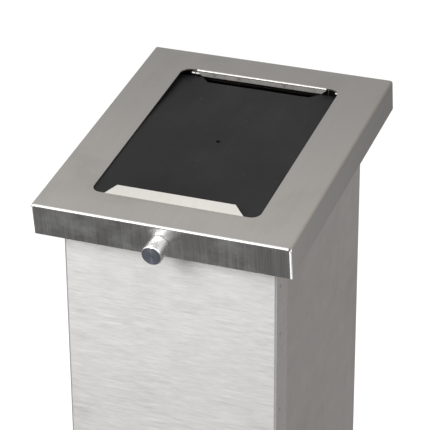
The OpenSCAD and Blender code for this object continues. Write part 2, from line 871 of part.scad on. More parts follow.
// Torsion spring round the rod: one leg behind the flap up to the lid, one under the flap
module flap_spring(side) {
  wire_r = spring_wire_d / 2;
  coil_r = spring_in + wire_r;
  x0 = spring_x0;
  leg_back = rod_in + 2.2;
  leg_up = -lid_t - 2 * seat_gap - rod_n - wire_r;
  leg_front = 26;
  color(steel) mirror([side < 0 ? 1 : 0, 0, 0]) on_rod() {
    difference() {
      x_cylinder(spring_out, spring_l, x0 + spring_l / 2);
      x_cylinder(spring_in, spring_l + 2, x0 + spring_l / 2);
    }
    translate([x0 + wire_r, 0, -coil_r]) rotate([-90, 0, 0]) cylinder(r = wire_r, h = leg_back);
    translate([x0 + wire_r, leg_back, -coil_r]) sphere(wire_r);
    translate([x0 + wire_r, leg_back, -coil_r]) cylinder(r = wire_r, h = coil_r + leg_up);
    translate([x0 + spring_l - wire_r, 0, coil_r]) rotate([90, 0, 0]) {
      cylinder(r = wire_r, h = leg_front);
    }
  }
}

module flap_spring_left() {
  flap_spring(-1);
}

module flap_spring_right() {
  flap_spring(1);
}

base_plate();
base_rivets();
liner_runners();
locating_lugs();
body_shell();
front_panel();
rim_frame();
rim_seal();
liner();
liner_floor();
bag_ring();
hinge_body_leaf();
hinge_lid_leaf();
hinge_pin();
hinge_rivets();
lid_shell();
knob();
knob_screw();
knob_washer();
flap_bracket_left();
flap_bracket_right();
flap_rod();
rod_clips();
flap_spring_left();
flap_spring_right();
flap_plate();
flap_leaf();
flap_screws();
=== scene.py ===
import json
import math

import bmesh
import bpy
import numpy as np
from mathutils import Matrix, Vector

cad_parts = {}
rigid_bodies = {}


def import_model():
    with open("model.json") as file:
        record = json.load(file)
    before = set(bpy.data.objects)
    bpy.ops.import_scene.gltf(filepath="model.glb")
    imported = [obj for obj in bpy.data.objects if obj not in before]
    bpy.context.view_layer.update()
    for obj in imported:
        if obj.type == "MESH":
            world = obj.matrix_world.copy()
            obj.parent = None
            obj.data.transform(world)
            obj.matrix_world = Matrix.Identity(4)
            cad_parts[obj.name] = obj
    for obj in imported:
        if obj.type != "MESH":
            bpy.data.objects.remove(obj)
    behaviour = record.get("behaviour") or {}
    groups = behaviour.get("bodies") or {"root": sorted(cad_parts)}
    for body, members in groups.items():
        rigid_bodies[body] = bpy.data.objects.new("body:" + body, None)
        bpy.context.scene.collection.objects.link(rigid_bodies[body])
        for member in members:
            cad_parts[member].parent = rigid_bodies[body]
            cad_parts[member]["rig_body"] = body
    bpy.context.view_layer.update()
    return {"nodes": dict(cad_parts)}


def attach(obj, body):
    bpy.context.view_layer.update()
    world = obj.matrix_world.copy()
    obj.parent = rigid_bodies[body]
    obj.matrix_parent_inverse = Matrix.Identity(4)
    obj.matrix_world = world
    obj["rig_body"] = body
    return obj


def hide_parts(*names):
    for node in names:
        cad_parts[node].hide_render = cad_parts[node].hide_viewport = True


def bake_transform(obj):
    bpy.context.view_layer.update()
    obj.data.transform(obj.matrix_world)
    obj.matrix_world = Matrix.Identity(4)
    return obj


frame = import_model()
nodes = frame["nodes"]

# ------------------------------------------------------------------ side and back sheet
# One sheet of 1.5 mm stainless steel folded round the sides and the back of the column.
# It comes brushed from the mill, with the grain upright.

MM = 0.001
SAME_POINT = 1e-6
FLAT_ANGLE = math.radians(0.5)
SHARP_ANGLE = math.radians(32)
FACES_OWN = -1


def sheet_copy(node, edge=0.25 * MM, wide=None, edge_material=FACES_OWN):
    """Copies a CAD node as one welded mesh and rounds its cut edges.

    Points closer than SAME_POINT become one, neighbouring faces within FLAT_ANGLE become one,
    and a Bevel rounds each edge sharper than SHARP_ANGLE by edge times its weight. The weight
    is 1, or what wide(middle of the edge) gives. The rounded edges take the material numbered
    edge_material, or that of the faces beside them.
    """
    source = nodes[node]
    mesh = source.data.copy()
    mesh.name = node + "_finished"
    mesh.materials.clear()
    bm = bmesh.new()
    bm.from_mesh(mesh)
    bmesh.ops.remove_doubles(bm, verts=bm.verts, dist=SAME_POINT)
    bmesh.ops.dissolve_limit(
        bm, angle_limit=FLAT_ANGLE, verts=bm.verts, edges=bm.edges, delimit={"NORMAL"}
    )
    for face in bm.faces:
        face.smooth = True
    for e in bm.edges:
        e.smooth = len(e.link_faces) == 2 and e.calc_face_angle(0) < SHARP_ANGLE
    weights = bm.edges.layers.float.new("bevel_weight_edge")
    for e in bm.edges:
        if not e.smooth:
            e[weights] = wide((e.verts[0].co + e.verts[1].co) / 2) if wide else 1.0
    bm.to_mesh(mesh)
    bm.free()
    if "custom_normal" in mesh.attributes:
        mesh.attributes.remove(mesh.attributes["custom_normal"])
    piece = bpy.data.objects.new(node + "_finished", mesh)
    bpy.context.scene.collection.objects.link(piece)
    bevel = piece.modifiers.new("cut_edges", "BEVEL")
    bevel.width = edge
    bevel.segments = 2
    bevel.limit_method = "WEIGHT"
    bevel.material = edge_material
    bevel.use_clamp_overlap = True
    normals = piece.modifiers.new("flat_faces", "WEIGHTED_NORMAL")
    normals.keep_sharp = False
    normals.weight = 100
    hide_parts(node)
    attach(piece, source["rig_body"])
    return piece


def lay_grain(piece, along, spare):
    """Writes the UV map "grain", in metres: v runs along the grain, u across it.

    On each face the grain is the direction along, laid into the face, or the direction spare
    where less than nearly_square of along is left in the face. Across is the face's normal
    times the grain.
    """
    nearly_square = 0.3
    mesh = piece.data
    count = len(mesh.polygons)
    normal = np.empty(count * 3)
    mesh.polygons.foreach_get("normal", normal)
    normal = normal.reshape(-1, 3)
    grain = np.tile(np.array(along, float), (count, 1))
    grain -= normal * (normal @ np.array(along, float))[:, None]
    square = np.linalg.norm(grain, axis=1) < nearly_square
    other = np.tile(np.array(spare, float), (count, 1))
    other -= normal * (normal @ np.array(spare, float))[:, None]
    grain[square] = other[square]
    grain /= np.maximum(np.linalg.norm(grain, axis=1), 1e-9)[:, None]
    across = np.cross(normal, grain)
    total = np.empty(count, np.int32)
    mesh.polygons.foreach_get("loop_total", total)
    corner_face = np.repeat(np.arange(count), total)
    corner_vertex = np.empty(len(mesh.loops), np.int32)
    mesh.loops.foreach_get("vertex_index", corner_vertex)
    place = np.empty(len(mesh.vertices) * 3)
    mesh.vertices.foreach_get("co", place)
    place = place.reshape(-1, 3)[corner_vertex]
    uv = np.stack(
        [(place * across[corner_face]).sum(1), (place * grain[corner_face]).sum(1)], axis=1
    )
    layer = mesh.uv_layers.new(name="grain")
    layer.data.foreach_set("uv", uv.astype(np.float32).ravel())


class Finish:
    """A material being built: one Principled shader and the textures that feed it."""

    def __init__(self, name, **values):
        """Makes the material and sets each named shader value on its own socket."""
        self.material = bpy.data.materials.new(name)
        self.material.use_nodes = True
        self.tree = self.material.node_tree
        self.shader = self.tree.nodes["Principled BSDF"]
        for key, value in values.items():
            self.shader.inputs[key.replace("_", " ")].default_value = value

    def node(self, kind, inputs=None, **settings):
        """Adds a node, with its settings and with values or links on its inputs."""
        made = self.tree.nodes.new(kind)
        for key, value in settings.items():
            setattr(made, key, value)
        for key, value in (inputs or {}).items():
            if isinstance(value, bpy.types.NodeSocket):
                self.tree.links.new(value, made.inputs[key])
            else:
                made.inputs[key].default_value = value
        return made

    def link(self, output, name):
        """Feeds an output to one of the shader's inputs."""
        self.tree.links.new(output, self.shader.inputs[name])

    def place(self, scale, uv=None, turn=(0, 0, 0), shift=(0, 0, 0)):
        """Object coordinates, or a UV map in metres, turned, shifted and scaled."""
        if uv:
            source = self.node("ShaderNodeUVMap", uv_map=uv).outputs["UV"]
        else:
            source = self.node("ShaderNodeTexCoord").outputs["Object"]
        inputs = {"Vector": source, "Scale": scale, "Rotation": turn, "Location": shift}
        return self.node("ShaderNodeMapping", inputs).outputs["Vector"]

    def noise(self, vector, detail=3, rough=0.55):
        """Soft noise from 0 to 1 at a place that is already scaled."""
        inputs = {"Vector": vector, "Scale": 1, "Detail": detail, "Roughness": rough}
        return self.node("ShaderNodeTexNoise", inputs).outputs["Fac"]

    def remap(self, value, low, high, to_low, to_high):
        """Straight-line change of the range low..high into to_low..to_high, held at both ends."""
        inputs = {"Value": value, 1: low, 2: high, 3: to_low, 4: to_high}
        return self.node("ShaderNodeMapRange", inputs).outputs["Result"]

    def math(self, operation, a, b=0.0):
        """One sum of two values."""
        return self.node("ShaderNodeMath", {0: a, 1: b}, operation=operation).outputs["Value"]

    def axis(self, name, vector=None):
        """One component, X, Y or Z, of a vector or of the object coordinates."""
        source = vector or self.node("ShaderNodeTexCoord").outputs["Object"]
        return self.node("ShaderNodeSeparateXYZ", {0: source}).outputs[name]

    def spots(self, centres, radius):
        """Ragged spots round centres that are given in object coordinates.

        The distance to the nearest centre plus a noise times radius is found. The value is 1
        where that is under half the radius, and falls to 0 at one and a half times the radius.
        """
        source = self.node("ShaderNodeTexCoord").outputs["Object"]
        ragged = self.math("MULTIPLY", self.noise(self.place((900, 900, 900)), detail=2), radius)
        found = None
        for centre in centres:
            inputs = {0: source, 1: centre}
            far = self.node("ShaderNodeVectorMath", inputs, operation="DISTANCE").outputs["Value"]
            found = far if found is None else self.math("MINIMUM", found, far)
        return self.remap(self.math("ADD", found, ragged), 0.5 * radius, 1.5 * radius, 1.0, 0.0)

    def mix(self, factor, a, b, blend="MIX"):
        """Mixes two colours."""
        made = self.tree.nodes.new("ShaderNodeMix")
        made.data_type = "RGBA"
        made.blend_type = blend
        for index, value in ((0, factor), (6, a), (7, b)):
            if isinstance(value, bpy.types.NodeSocket):
                self.tree.links.new(value, made.inputs[index])
            else:
                made.inputs[index].default_value = value
        return made.outputs[2]

    def bump(self, height, distance, strength):
        """Turns a height into a shading normal and feeds it to the shader."""
        inputs = {"Height": height, "Distance": distance, "Strength": strength}
        self.link(self.node("ShaderNodeBump", inputs).outputs["Normal"], "Normal")


# Near black for a band of painted shade.
SHADE_BLACK = (0.012, 0.011, 0.01, 1)
# Near white for the painted highlight at the lid's mitre corners.
HIGHLIGHT_PALE = (0.95, 0.94, 0.92, 1)


def brushed_steel(
    name, light, dark, roughness, streaks, anisotropy=0.8, smudges=0.5, painted_fade=None, clouds=0.0,
    streak_l=14, wide_l=3, marks=(), painted_dark_band=None, metallic=1.0, corner_highlight=None
):
    """Brushed stainless sheet: long fine scratches along the grain over slow soft smudges.

    Three noises are stretched along the grain. The finest is a shallow height, the wider two
    change the colour between dark and light by the share streaks. Noise on the object's own
    coordinates adds smudges to the colour and the roughness, and pale clouds by the share
    clouds. fade = (y0, y1, share) is painted shade: it darkens the colour to share between two
    depths. Each of marks is (centres, radius, colour, strength), a row of small marks.
    grime = (y0, y1, z0) is painted shade: it blackens what lies between the depths y0 and y1
    above the height z0. ground = (x, start, way, reach) is a painted highlight, pale and matt
    where abs(X) > x and (place - start) . way < reach.
    """
    made = Finish(name, Metallic=metallic, Anisotropic=anisotropy)
    fine = made.noise(made.place((2600, 22, 1), uv="grain"), detail=2)
    middle = made.noise(made.place((760, streak_l, 1), uv="grain"), detail=3)
    wide = made.noise(made.place((170, wide_l, 1), uv="grain"), detail=2)
    smudge = made.noise(made.place((11, 11, 11)), detail=4, rough=0.6)
    cloud = made.noise(made.place((3.1, 3.1, 3.1), shift=(3, 1, 7)), detail=2)
    stripe = made.math("ADD", made.math("MULTIPLY", middle, 0.6), made.math("MULTIPLY", wide, 0.4))
    tone = made.remap(stripe, 0.5 - 0.25 / streaks, 0.5 + 0.25 / streaks, 0.0, 1.0)
    mark = made.remap(smudge, 0.52, 0.72, 0.0, smudges * 0.35)
    colour = made.mix(tone, dark, light)
    stained = [c * 0.72 for c in dark[:3]] + [1]
    colour = made.mix(mark, colour, stained)
    slow = made.remap(cloud, 0.35, 0.65, 0.0, 0.22 * smudges)
    colour = made.mix(slow, colour, stained)
    rough = made.math("ADD", made.remap(fine, 0.3, 0.7, -0.05, 0.05), roughness)
    rough = made.math("ADD", rough, made.remap(smudge, 0.4, 0.7, 0.0, 0.07 * smudges))
    if clouds:
        patch = made.noise(made.place((26, 26, 40), shift=(1, 5, 2)), detail=5, rough=0.65)
        patch = made.remap(patch, 0.46, 0.70, 0.0, clouds)
        colour = made.mix(patch, colour, [min(1, c * 1.5) for c in light[:3]] + [1])
        rough = made.math("ADD", rough, made.math("MULTIPLY", patch, 0.10))
    # Painted shade: the colour darkens from one depth to the other.
    if painted_fade:
        near, far, share = painted_fade
        shade = made.remap(made.axis("Y"), near, far, 1.0, share)
        grey = made.node("ShaderNodeCombineXYZ", {0: shade, 1: shade, 2: shade}).outputs[0]
        colour = made.mix(1.0, colour, grey, blend="MULTIPLY")
    for centres, radius, stain, strength in marks:
        spot = made.math("MULTIPLY", made.spots(centres, radius), strength)
        colour = made.mix(spot, colour, stain)
    # Painted shade: a near-black band between two depths, above a height.
    if painted_dark_band:
        near, far, low = painted_dark_band
        inside = made.math("MULTIPLY", made.remap(made.axis("Y"), near, near + 5 * MM, 0, 1),
                           made.remap(made.axis("Y"), far, far + 0.1 * MM, 1, 0))
        above = made.remap(made.axis("Z"), low - 8 * MM, low, 0.0, 0.97)
        colour = made.mix(made.math("MULTIPLY", inside, above), colour, SHADE_BLACK)
    # Painted highlight: pale, matt strips at the open mitre corners.
    if corner_highlight:
        half, start, way, reach = corner_highlight
        place = made.node("ShaderNodeTexCoord").outputs["Object"]
        offset = made.node("ShaderNodeVectorMath", {0: place, 1: start}, operation="SUBTRACT")
        offset = {0: offset.outputs["Vector"], 1: way}
        past = made.node("ShaderNodeVectorMath", offset, operation="DOT_PRODUCT").outputs["Value"]
        highlit = made.math(
            "MULTIPLY",
            made.remap(made.math("ABSOLUTE", made.axis("X")), half - 0.1 * MM, half, 0, 1),
            made.remap(past, reach, reach + 0.1 * MM, 1, 0),
        )
        colour = made.mix(highlit, colour, HIGHLIGHT_PALE)
        made.link(made.remap(highlit, 0, 1, metallic, 0.25), "Metallic")
    made.link(colour, "Base Color")
    made.link(rough, "Roughness")
    made.bump(made.math("ADD", fine, middle), 0.012 * MM, 0.6)
    tangent = made.node("ShaderNodeTangent", direction_type="UV_MAP", uv_map="grain")
    made.link(tangent.outputs["Tangent"], "Tangent")
    return made.material


# The side sheet is blackened in a band at the top of its back wall: painted shade.
side_steel = brushed_steel(
    "side_steel", (0.70, 0.655, 0.64, 1), (0.60, 0.56, 0.545, 1), 0.34, 0.9, anisotropy=0.6,
    smudges=0.7, clouds=0.12, painted_dark_band=(0.135, 0.1462, 0.872)
)
side_sheet = sheet_copy("body_shell")
side_sheet.data.materials.append(side_steel)
lay_grain(side_sheet, (0, 0, 1), (0, 1, 0))

# ------------------------------------------------------------------ front panel
# A second sheet, brushed crosswise, folded round the front corners and spot-welded over the
# edges of the side sheet. Its front face is lighter and its returns take a darker copy of its
# steel: painted light and shade. The welds leave a row of small brown and pale marks.

WELD_HEIGHTS = (0.782, 0.723, 0.627, 0.545, 0.452, 0.371, 0.268, 0.184, 0.092)
COLUMN_HALF = 0.125
BROWN = (0.13, 0.10, 0.08, 1)
PALE = (0.95, 0.93, 0.90, 1)
weld_places = [(m * COLUMN_HALF, -0.135, z) for m in (-1, 1) for z in WELD_HEIGHTS]
pale_places = [(m * COLUMN_HALF, -0.121, z - 0.024) for m in (-1, 1) for z in WELD_HEIGHTS]
panel_steel = brushed_steel(
    "panel_steel", (0.83, 0.82, 0.805, 1), (0.655, 0.645, 0.635, 1), 0.42, 1.3, anisotropy=0.85,
    smudges=0.35, streak_l=70, wide_l=24
)
# Painted shade: a darker copy of the panel's steel for its returns.
lip_shaded_steel = brushed_steel(
    "lip_shaded_steel", (0.74, 0.70, 0.68, 1), (0.60, 0.56, 0.54, 1), 0.36, 1.0, anisotropy=0.6,
    marks=[(weld_places, 2.6 * MM, BROWN, 0.75), (pale_places, 2.2 * MM, PALE, 0.6)]
)
panel = sheet_copy("front_panel", edge=0.35 * MM)
FRONT, RETURN = range(2)
panel.data.materials.append(panel_steel)
panel.data.materials.append(lip_shaded_steel)
lay_grain(panel, (1, 0, 0), (0, 1, 0))
for face in panel.data.polygons:
    face.material_index = RETURN if abs(face.normal.x) > 0.9 else FRONT

# ------------------------------------------------------------------ lid
# One sheet of 1.5 mm stainless steel with the grain from front to back, folded down at the
# front and the sides. Its front corners are open mitres and its window is laser-cut. The front
# bend takes a lighter, rougher copy of the steel, a painted highlight, and the side flanges and
# side bends take darker copies, painted shade. The cut edges and mitre corners are painted
# pale, painted highlights. The rear tongue is darker and duller, with a row of dark marks.

tilt = math.radians(8)
UP_SLOPE = Vector((0, math.cos(tilt), math.sin(tilt)))
SQUARE_TO_LID = Vector((0, -math.sin(tilt), math.cos(tilt)))
LID_FRONT = Vector((0, -0.1745, 0.850))
SIDE_BEND_X = 0.146
FRONT_BEND_S = 0.004
TOP, FLANGE, WING, BEND, TONGUE, HIGHLIT_EDGE, SIDE_BEND = range(7)


def on_lid(x, s, n):
    """A place on the lid: x across, s up the slope from the front top edge, n above the top."""
    return LID_FRONT + Vector((x, 0, 0)) + s * UP_SLOPE + n * SQUARE_TO_LID


def lid_place(point):
    """The (x, s, n) of a place: its offset from the front top edge, dotted with each axis."""
    offset = point - LID_FRONT
    return offset.x, offset @ UP_SLOPE, offset @ SQUARE_TO_LID


def lid_edge(point):
    """Bevel weight: the open mitres and the window's edge are rounded more than the rest."""
    x, s, n = lid_place(point)
    mitre = abs(x) > SIDE_BEND_X and s < FRONT_BEND_S and n < -0.002
    window = abs(x) < 0.1 and 0.03 < s < 0.33 and n > -0.0008
    return 1.0 if mitre else 0.55 if window else 0.45


# The lid's top, side flanges and side bends darken towards the back: painted shade.
shade_from, shade_to = -0.16, 0.18
lid_painted_shade = (shade_from, shade_to, 0.70)
# Painted highlight on the ends of the flanges at the front corners.
mitre_highlight = (0.1482, LID_FRONT, UP_SLOPE, 1.7 * MM)
lid_steel = brushed_steel(
    "lid_steel", (0.66, 0.64, 0.61, 1), (0.60, 0.58, 0.55, 1), 0.36, 0.8, anisotropy=0.55,
    smudges=0.9, painted_fade=lid_painted_shade
)
flange_steel = brushed_steel(
    "flange_steel", (0.72, 0.71, 0.71, 1), (0.42, 0.41, 0.41, 1), 0.30, 1.8, anisotropy=0.85,
    smudges=1.0, clouds=0.55, corner_highlight=mitre_highlight
)
# Painted shade: a darker copy of the lid's steel for the side flanges.
wing_shaded_steel = brushed_steel(
    "wing_shaded_steel", (0.60, 0.575, 0.555, 1), (0.53, 0.505, 0.49, 1), 0.34, 0.9, anisotropy=0.5,
    smudges=0.8, painted_fade=(shade_from, shade_to, 0.66), corner_highlight=mitre_highlight
)
# Painted highlight: a lighter copy of the lid's steel for the front bend.
front_bend_highlight = brushed_steel(
    "front_bend_highlight", (0.74, 0.73, 0.72, 1), (0.66, 0.65, 0.64, 1), 0.46, 0.6, anisotropy=0.3
)
# Painted shade: a darker copy of the lid's steel for the side bends.
side_bend_shaded = brushed_steel(
    "side_bend_shaded", (0.56, 0.52, 0.47, 1), (0.48, 0.45, 0.40, 1), 0.42, 0.6, anisotropy=0.3,
    painted_fade=lid_painted_shade
)
# Painted highlight: near white and half metallic, on the rounded cut edges of the lid.
edge_highlight_steel = brushed_steel(
    "edge_highlight_steel", (0.93, 0.92, 0.90, 1), (0.80, 0.79, 0.77, 1), 0.55, 0.8, anisotropy=0.0,
    metallic=0.35
)
# A row of round dark marks and one upright dark line on the rear tongue.
mark_s, mark_n = 0.3165, -0.0055
round_dark_marks = [on_lid(x, mark_s, mark_n) for x in (-0.059, -0.028, 0.029)]
upright_dark_mark = [on_lid(0, mark_s, mark_n + k * MM) for k in (-2, -1, 0, 1, 2)]
tongue_steel = brushed_steel(
    "tongue_steel", (0.52, 0.51, 0.49, 1), (0.36, 0.35, 0.33, 1), 0.5, 1.6, anisotropy=0.4,
    metallic=0.3,
    marks=[(round_dark_marks, 3.2 * MM, (0.035, 0.025, 0.015, 1), 0.92),
           (upright_dark_mark, 0.9 * MM, (0.02, 0.02, 0.02, 1), 0.95)]
)
# The rounded edges take the painted highlight.
lid = sheet_copy("lid_shell", edge=0.7 * MM, wide=lid_edge, edge_material=HIGHLIT_EDGE)
for steel in (
    lid_steel, flange_steel, wing_shaded_steel, front_bend_highlight, tongue_steel, edge_highlight_steel, side_bend_shaded
):
    lid.data.materials.append(steel)
lay_grain(lid, UP_SLOPE, SQUARE_TO_LID)
for face in lid.data.polygons:
    x, s, n = lid_place(face.center)
    facing = (abs(face.normal @ SQUARE_TO_LID), abs(face.normal @ UP_SLOPE), abs(face.normal.x))
    if abs(x) < 0.082 and 0.31 < s < 0.325 and n < -0.0026:
        face.material_index = TONGUE
    elif max(facing) < 0.95:
        face.material_index = (
            BEND if s < FRONT_BEND_S else SIDE_BEND if abs(x) > SIDE_BEND_X else TOP
        )
    else:
        face.material_index = (TOP, FLANGE, WING)[facing.index(max(facing))]

# ------------------------------------------------------------------ knob
# Turned from bar and polished, with a groove near its front and a faced end whose rings catch
# the light in two opposite fans. The faced end is coloured dark blue-grey: a painted reflection.


def lathe(name, profile, axis_from, axis, segments=96):
    """Turns a profile of (height, radius) about an axis, with the UV map "grain" in metres.

    A point is axis_from + height * axis + radius * (cos a * side + sin a * up). u is the length
    along the profile and v is a times the largest radius.
    """
    axis = Vector(axis).normalized()
    side = axis.orthogonal().normalized()
    up = axis.cross(side)
    heights, radii = (np.array(column) for column in zip(*profile))
    along = np.concatenate([[0], np.cumsum(np.hypot(np.diff(heights), np.diff(radii)))])
    angles = np.linspace(0, 2 * np.pi, segments, endpoint=False)
    cosine, sine = np.cos(angles)[None, :, None], np.sin(angles)[None, :, None]
    rings = (
        np.array(axis_from)[None, None]
        + heights[:, None, None] * np.array(axis)[None, None]
        + radii[:, None, None] * (cosine * np.array(side) + sine * np.array(up))
    )
    faces, uvs = [], []
    for i in range(len(profile) - 1):
        here, there = i * segments, (i + 1) * segments
        for j in range(segments):
            k = (j + 1) % segments
            faces.append((here + j, here + k, there + k, there + j))
            v0, v1 = (angles[1] * step * max(radii) for step in (j, j + 1))
            uvs += [(along[i], v0), (along[i], v1), (along[i + 1], v1), (along[i + 1], v0)]
    mesh = bpy.data.meshes.new(name)
    mesh.from_pydata(rings.reshape(-1, 3).tolist(), [], faces)
    mesh.uv_layers.new(name="grain").data.foreach_set("uv", np.array(uvs, np.float32).ravel())
    for face in mesh.polygons:
        face.use_smooth = True
    piece = bpy.data.objects.new(name, mesh)
    bpy.context.scene.collection.objects.link(piece)
    return piece


def rounded(points, radius, steps=4):
    """Rounds the corners of a (height, radius) profile with short arcs.

    Each inner corner becomes a quadratic curve between the points radius before and after it.
    """
    out = [points[0]]
    for before, corner, after in zip(points, points[1:], points[2:]):
        before, corner, after = (np.array(p, float) for p in (before, corner, after))
        into, away = before - corner, after - corner
        reach = min(radius, 0.45 * np.linalg.norm(into), 0.45 * np.linalg.norm(away))
        start = corner + into / np.linalg.norm(into) * reach
        end = corner + away / np.linalg.norm(away) * reach
        for t in np.linspace(0, 1, steps + 1):
            out.append(tuple((1 - t) ** 2 * start + 2 * t * (1 - t) * corner + t ** 2 * end))
    return out + [points[-1]]


def turned_steel(name, light, dark, roughness, ring, anisotropy):
    """Lathe-turned steel: fine rings along v of the grain map, seen in colour and height.

    Noise that is stretched round the axis changes the colour between dark and light, and a
    second, finer one is the height of the tool marks. ring is the rings' pitch in metres.
    """
    made = Finish(name, Metallic=1.0, Anisotropic=anisotropy)
    rings = made.noise(made.place((1 / ring, 12, 1), uv="grain"), detail=3)
    fine = made.noise(made.place((3 / ring, 30, 1), uv="grain"), detail=2)
    wear = made.noise(made.place((160, 160, 160)), detail=4)
    colour = made.mix(made.remap(rings, 0.3, 0.7, 0, 1), dark, light)
    worn = [c * 0.6 for c in dark[:3]] + [1]
    colour = made.mix(made.remap(wear, 0.55, 0.75, 0, 0.3), colour, worn)
    made.link(colour, "Base Color")
    made.link(made.math("ADD", made.remap(wear, 0.3, 0.7, -0.04, 0.06), roughness), "Roughness")
    made.bump(made.math("ADD", rings, fine), 0.01 * MM, 0.7)
    tangent = made.node("ShaderNodeTangent", direction_type="UV_MAP", uv_map="grain")
    made.link(tangent.outputs["Tangent"], "Tangent")
    return made.material


knob_r, knob_l, chamfer = 12 * MM, 22.5 * MM, 1.2 * MM
bore_r, centre_r, knob_drop = 3.1 * MM, 0.05 * MM, 23.5 * MM
groove_z, groove_w, groove_d = knob_l - 4 * MM, 1 * MM, 0.5 * MM
knob_profile = rounded([
    (0, bore_r), (0, knob_r - chamfer), (chamfer, knob_r), (groove_z, knob_r),
    (groove_z, knob_r - groove_d), (groove_z + groove_w, knob_r - groove_d),
    (groove_z + groove_w, knob_r), (knob_l - chamfer, knob_r), (knob_l, knob_r - chamfer),
    (knob_l, centre_r)
], 0.35 * MM)
knob = lathe("knob_turned", knob_profile, on_lid(0, 0, -knob_drop), -UP_SLOPE)
knob.data.materials.append(
    turned_steel("knob_polish", (0.95, 0.95, 0.94, 1), (0.84, 0.84, 0.84, 1), 0.27, 0.6 * MM, 0.5)
)
# Painted reflection: the faced end is a dark blue-grey copy of the polish.
knob.data.materials.append(
    turned_steel("knob_end_painted_reflection", (0.60, 0.64, 0.72, 1), (0.22, 0.245, 0.31, 1), 0.24, 0.5 * MM, 0.9)
)
ROUND, END = range(2)
for face in knob.data.polygons:
    face.material_index = END if face.normal @ -UP_SLOPE > 0.9 else ROUND
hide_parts("knob")
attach(knob, nodes["knob"]["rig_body"])

# ------------------------------------------------------------------ flap
# A matt plate of black plastic, moulded with a slight bow, with a small hole in its middle. Use
# has left dust in its pores and long faint scuffs.

black = Finish("flap_plastic", Roughness=0.5, Specular_IOR_Level=0.22)
scuff = black.noise(black.place((30, 6, 30)), detail=6, rough=0.7)
speck = black.noise(black.place((260, 260, 260)), detail=2)
mottle = black.noise(black.place((14, 14, 14)), detail=3)
hair = black.noise(black.place((40, 900, 40), turn=(0, 0, 0.5)), detail=2)
tone = black.mix(
    black.remap(mottle, 0.3, 0.7, 0, 1), (0.0085, 0.0082, 0.0088, 1), (0.0135, 0.0130, 0.0138, 1)
)
tone = black.mix(black.remap(scuff, 0.66, 0.78, 0, 0.35), tone, (0.045, 0.045, 0.045, 1))
tone = black.mix(black.remap(hair, 0.70, 0.78, 0, 0.30), tone, (0.06, 0.06, 0.06, 1))
tone = black.mix(black.remap(speck, 0.73, 0.79, 0, 0.6), tone, (0.12, 0.12, 0.12, 1))
black.link(tone, "Base Color")
black.link(black.remap(scuff, 0.3, 0.8, 0.44, 0.60), "Roughness")
black.bump(black.noise(black.place((900, 900, 900)), detail=2), 0.02 * MM, 0.5)
flap = sheet_copy("flap_plate")
flap.data.materials.append(black.material)

# ------------------------------------------------------------------ flap hinge
# Rod, leaf and brackets under the lid, coloured near black so that the notch behind the flap
# shows dark: painted shade. The black is satin, with fine pores and patches that are rubbed grey.

# Painted shade: near black for the hinge parts under the lid.
hinge_shade_black = Finish("black_painted_shade", Metallic=0.9)
rub = hinge_shade_black.noise(hinge_shade_black.place((70, 70, 70)), detail=5, rough=0.65)
pore = hinge_shade_black.noise(hinge_shade_black.place((700, 700, 700)), detail=2)
tone = hinge_shade_black.mix(
    hinge_shade_black.remap(pore, 0.3, 0.7, 0, 1), (0.016, 0.016, 0.018, 1), (0.028, 0.028, 0.03, 1)
)
tone = hinge_shade_black.mix(hinge_shade_black.remap(rub, 0.64, 0.78, 0, 0.5), tone, (0.14, 0.13, 0.12, 1))
hinge_shade_black.link(tone, "Base Color")
hinge_shade_black.link(hinge_shade_black.remap(rub, 0.3, 0.7, 0.42, 0.58), "Roughness")
hinge_shade_black.bump(pore, 0.01 * MM, 0.5)
for node in ("flap_leaf", "flap_rod", "flap_bracket_left", "flap_bracket_right"):
    piece = sheet_copy(node, edge=0.15 * MM)
    piece.data.materials.append(hinge_shade_black.material)

# ------------------------------------------------------------------ springs and clips
# Close-wound torsion springs of 1 mm wire round the rod. One leg of each stands behind the flap
# and presses on the lid, the other lies under the flap, so they cross from the lid to the flap.

wire_steel = Finish("spring_wire", Metallic=1.0, Anisotropic=0.4)
drawn = wire_steel.noise(wire_steel.place((1800, 40, 1), uv="grain"), detail=2)
oil = wire_steel.noise(wire_steel.place((120, 120, 120)), detail=4)
tone = wire_steel.mix(
    wire_steel.remap(drawn, 0.3, 0.7, 0, 1), (0.34, 0.33, 0.32, 1), (0.5, 0.49, 0.48, 1)
)
tone = wire_steel.mix(wire_steel.remap(oil, 0.5, 0.75, 0, 0.7), tone, (0.16, 0.12, 0.08, 1))
wire_steel.link(tone, "Base Color")
wire_steel.link(wire_steel.remap(oil, 0.3, 0.7, 0.26, 0.42), "Roughness")
wire_steel.bump(drawn, 0.005 * MM, 0.5)


